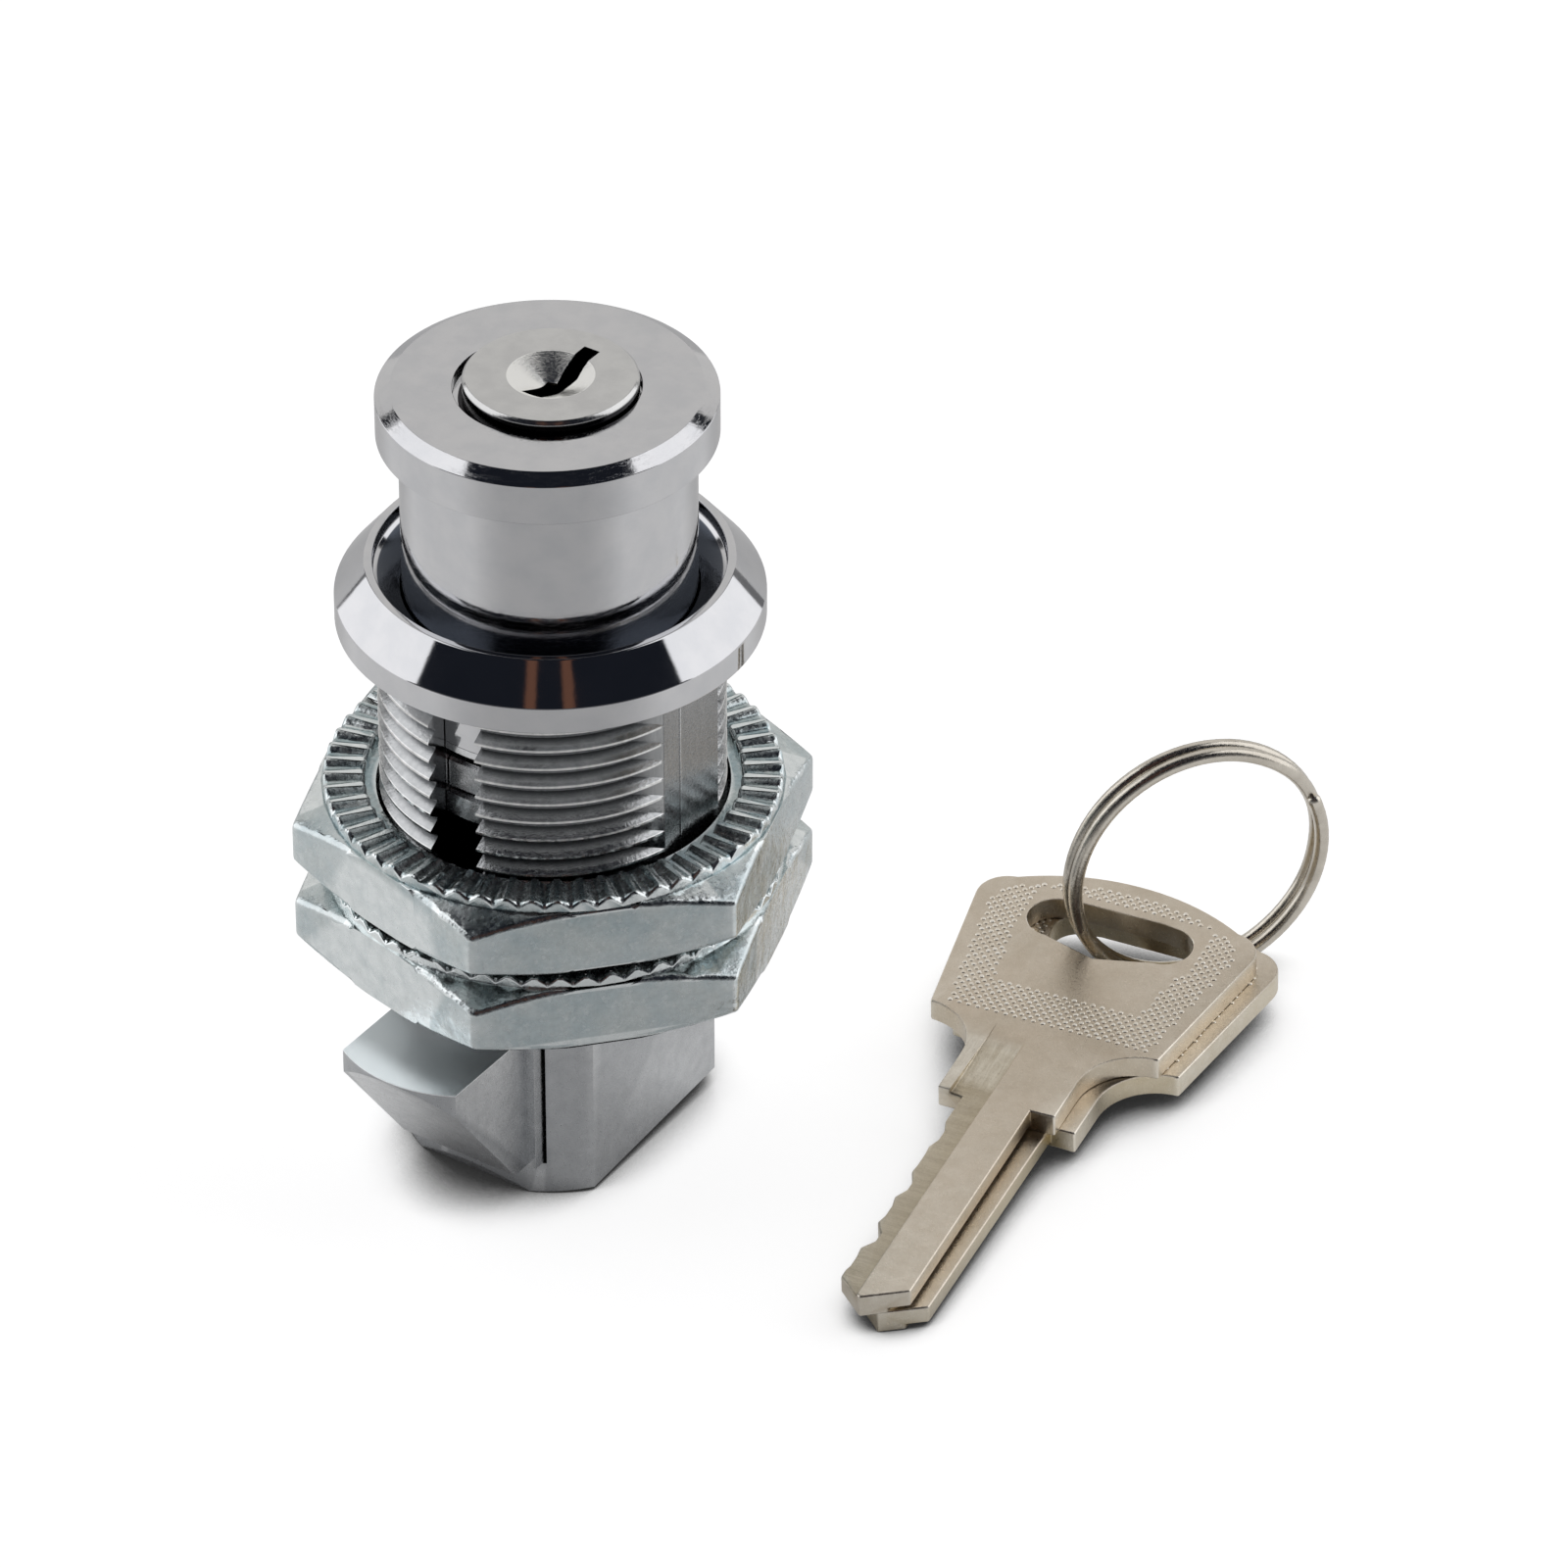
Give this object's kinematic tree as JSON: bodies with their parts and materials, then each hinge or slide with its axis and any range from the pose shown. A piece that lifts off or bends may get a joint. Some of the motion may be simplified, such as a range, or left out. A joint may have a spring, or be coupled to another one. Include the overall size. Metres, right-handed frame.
{
  "type": "push button slam latch with key lock",
  "caption": "Panel-mounted push-button slam latch: chrome button with key plug, threaded barrel with serrated hexagon nuts, sprung bevelled bolt, and flat keys on a split ring.",
  "frame": {"origin": "on the lock's axis in the plane of the bezel's underside, where the panel seats", "axes": "+Z out of the panel towards the user, -Y the way the bolt is thrown, +X to the right seen with the bolt towards the viewer"},
  "size_m": [0.0624, 0.0743, 0.0684],
  "materials": {
    "chrome": "polished chrome plate",
    "cast_zinc": "satin as-cast zinc",
    "nut_zinc": "bright zinc plate, slightly blue, tumbled",
    "plug_nickel": "satin nickel",
    "brass": "plain",
    "steel": "plain",
    "spring_steel": "bright wire",
    "key_nickel": "nickel-plated brass, satin",
    "ring_nickel": "nickel-plated steel wire"
  },
  "bodies": {
    "lock_body": {"lock_barrel": "chrome", "stop_pin": "steel", "bolt_housing": "cast_zinc", "housing_dowels": "steel", "return_springs": "spring_steel", "bolt_springs": "spring_steel"},
    "front_nut": {"front_nut": "nut_zinc"},
    "rear_nut": {"rear_nut": "nut_zinc"},
    "button": {"push_button": "chrome", "button_carrier": "cast_zinc", "carrier_screws": "steel", "drive_stem": "steel", "stem_pin": "steel"},
    "plug": {"key_plug": "plug_nickel", "plug_wafers": "brass", "wafer_springs": "spring_steel", "plug_clip": "spring_steel", "plug_cam": "steel"},
    "pawl": {"locking_pawl": "cast_zinc"},
    "bolt": {"latch_bolt": "cast_zinc"},
    "lower_key": {"key_lower": "key_nickel"},
    "upper_key": {"key_upper": "key_nickel"},
    "ring": {"key_ring": "ring_nickel"}
  },
  "joints": [
    {"name": "button_slide", "type": "slide", "parent": "lock_body", "child": "button", "axis": [0, 0, -1], "range_m": [0, 0.012], "stiffness_N_per_m": 600, "springref_m": -0.008, "deforming": ["return_springs"]},
    {"name": "bolt_slide", "type": "slide", "parent": "lock_body", "child": "bolt", "axis": [0, 1, 0], "range_m": [0, 0.0102], "deforming": ["bolt_springs"]},
    {"name": "plug_turn", "type": "hinge", "parent": "button", "child": "plug", "pos_m": [0, 0, 0], "axis": [0, 0, -1], "range_deg": [0, 90]},
    {"name": "pawl_slide", "type": "slide", "parent": "button", "child": "pawl", "axis": [0, -1, 0], "range_m": [0, 0.0016]},
    {"name": "front_nut_travel", "type": "slide", "parent": "lock_body", "child": "front_nut", "axis": [0, 0, 1], "range_m": [0, 0.0136]},
    {"name": "rear_nut_travel", "type": "slide", "parent": "lock_body", "child": "rear_nut", "axis": [0, 0, 1], "range_m": [0, 0.0136]},
    {"name": "key_lift", "type": "slide", "parent": "lock_body", "child": "lower_key", "axis": [0, 0, 1], "range_m": [0, 0.05]},
    {"name": "key_fan", "type": "hinge", "parent": "lower_key", "child": "upper_key", "pos_m": [0.02899, 0.03532, -0.04236], "axis": [0.0085, -0.0492, 0.9988], "range_deg": [-20, 20]},
    {"name": "ring_swing", "type": "hinge", "parent": "lower_key", "child": "ring", "pos_m": [0.02813, 0.04034, -0.04211], "axis": [0.9854, 0.1702, 0], "range_deg": [-40, 0]}
  ],
  "couplings": [
    {"joint": "bolt_slide", "follows": "button_slide", "ratio": 0.85},
    {"joint": "pawl_slide", "follows": "plug_turn", "m_per_rad": 0.0010186},
    {"joint": "rear_nut_travel", "follows": "front_nut_travel", "ratio": 1}
  ]
}
